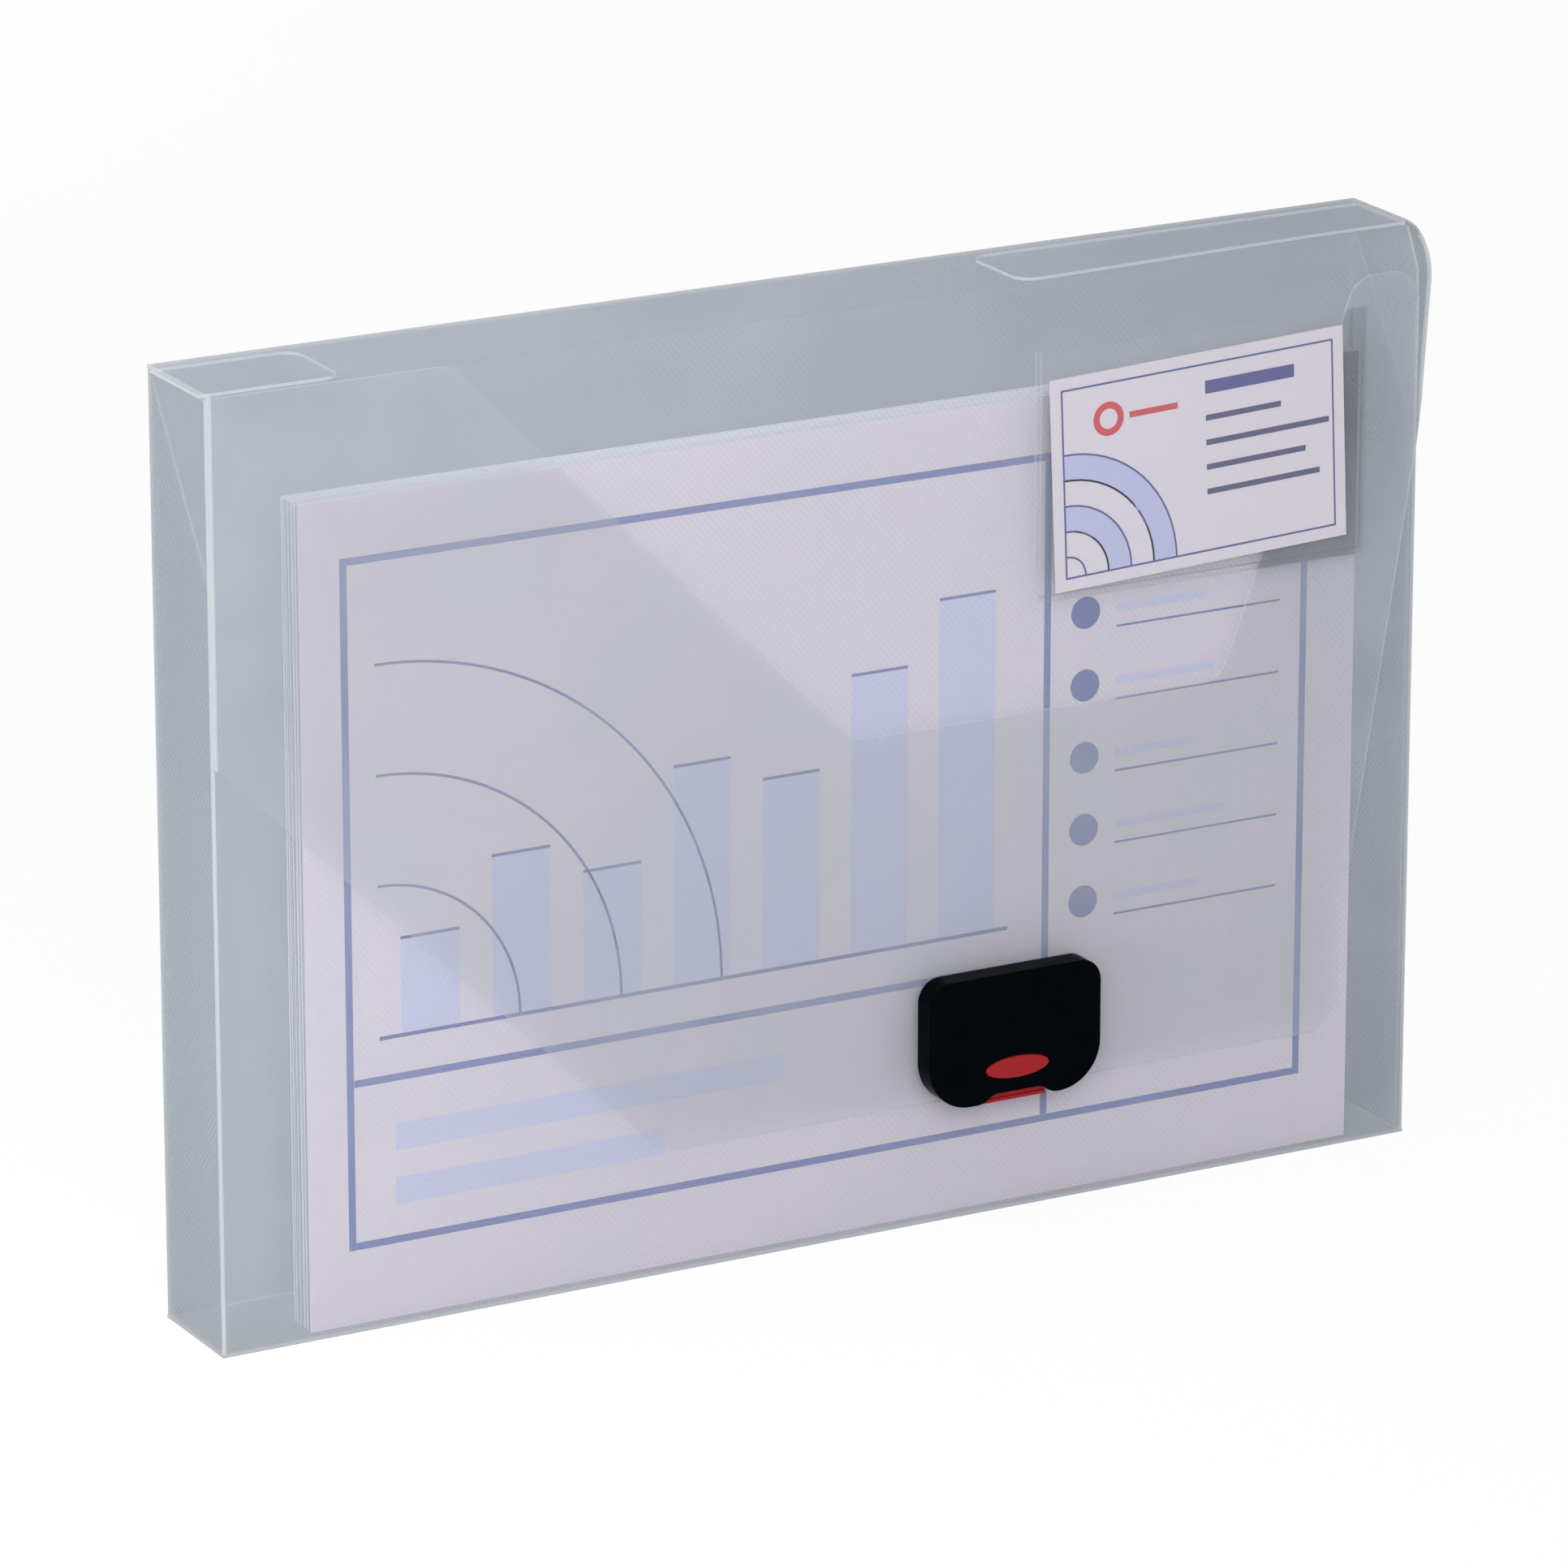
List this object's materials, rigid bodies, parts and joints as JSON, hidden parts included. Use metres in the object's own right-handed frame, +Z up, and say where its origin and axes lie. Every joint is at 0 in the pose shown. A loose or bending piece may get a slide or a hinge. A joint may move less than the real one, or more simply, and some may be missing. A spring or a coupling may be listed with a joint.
{
  "type": "document box",
  "caption": "Landscape A4 box of translucent plastic sheet with a hinged lid, a closing flap, a snap clasp and a card pocket, holding papers.",
  "frame": {"origin": "centre of the bottom's outer face, on the surface that the box stands on", "axes": "+X along the length, to the right when seen from the front; -Y out of the front, where the clasp is; +Z up"},
  "size_m": [0.338, 0.0402, 0.242],
  "materials": {
    "pp_sheet": "translucent frosted polypropylene sheet with fine diagonal embossing",
    "clear_film": "clear soft film",
    "black_plastic": "polished moulding",
    "red_plastic": "satin moulding",
    "white_paper": "uncoated copier paper",
    "printed_paper": "uncoated paper with blue line print",
    "card_stock": "smooth white card with blue line print"
  },
  "bodies": {
    "case": {"bottom_panel": "pp_sheet", "back_panel": "pp_sheet", "front_panel": "pp_sheet", "left_side_panel": "pp_sheet", "right_side_panel": "pp_sheet", "left_weld_tab": "pp_sheet", "right_weld_tab": "pp_sheet", "left_dust_flap": "pp_sheet", "right_dust_flap": "pp_sheet", "clasp_keeper": "red_plastic", "keeper_backplate": "red_plastic", "keeper_rivets": "red_plastic", "cover_paper": "printed_paper", "paper_stack": "white_paper"},
    "lid": {"lid_panel": "pp_sheet"},
    "flap": {"closing_flap": "pp_sheet", "clasp_cover": "black_plastic", "clasp_cover_plate": "black_plastic", "clasp_cover_rivets": "black_plastic", "card_pocket": "clear_film"},
    "card": {"index_card": "card_stock"},
    "button": {"release_button": "red_plastic"}
  },
  "joints": [
    {"name": "lid_hinge", "type": "hinge", "parent": "case", "child": "lid", "pos_m": [0, 0.016, 0.242], "axis": [-1, 0, 0], "range_deg": [0, 220]},
    {"name": "flap_crease", "type": "hinge", "parent": "lid", "child": "flap", "pos_m": [0, -0.018, 0.242], "axis": [-1, 0, 0], "range_deg": [0, 90]},
    {"name": "card_slide", "type": "slide", "parent": "flap", "child": "card", "axis": [0, 0, 1], "range_m": [0, 0.052]},
    {"name": "button_press", "type": "slide", "parent": "case", "child": "button", "axis": [0, 1, 0], "range_m": [0, 0.0018], "stiffness_N_per_m": 500, "springref_m": -0.0002}
  ]
}
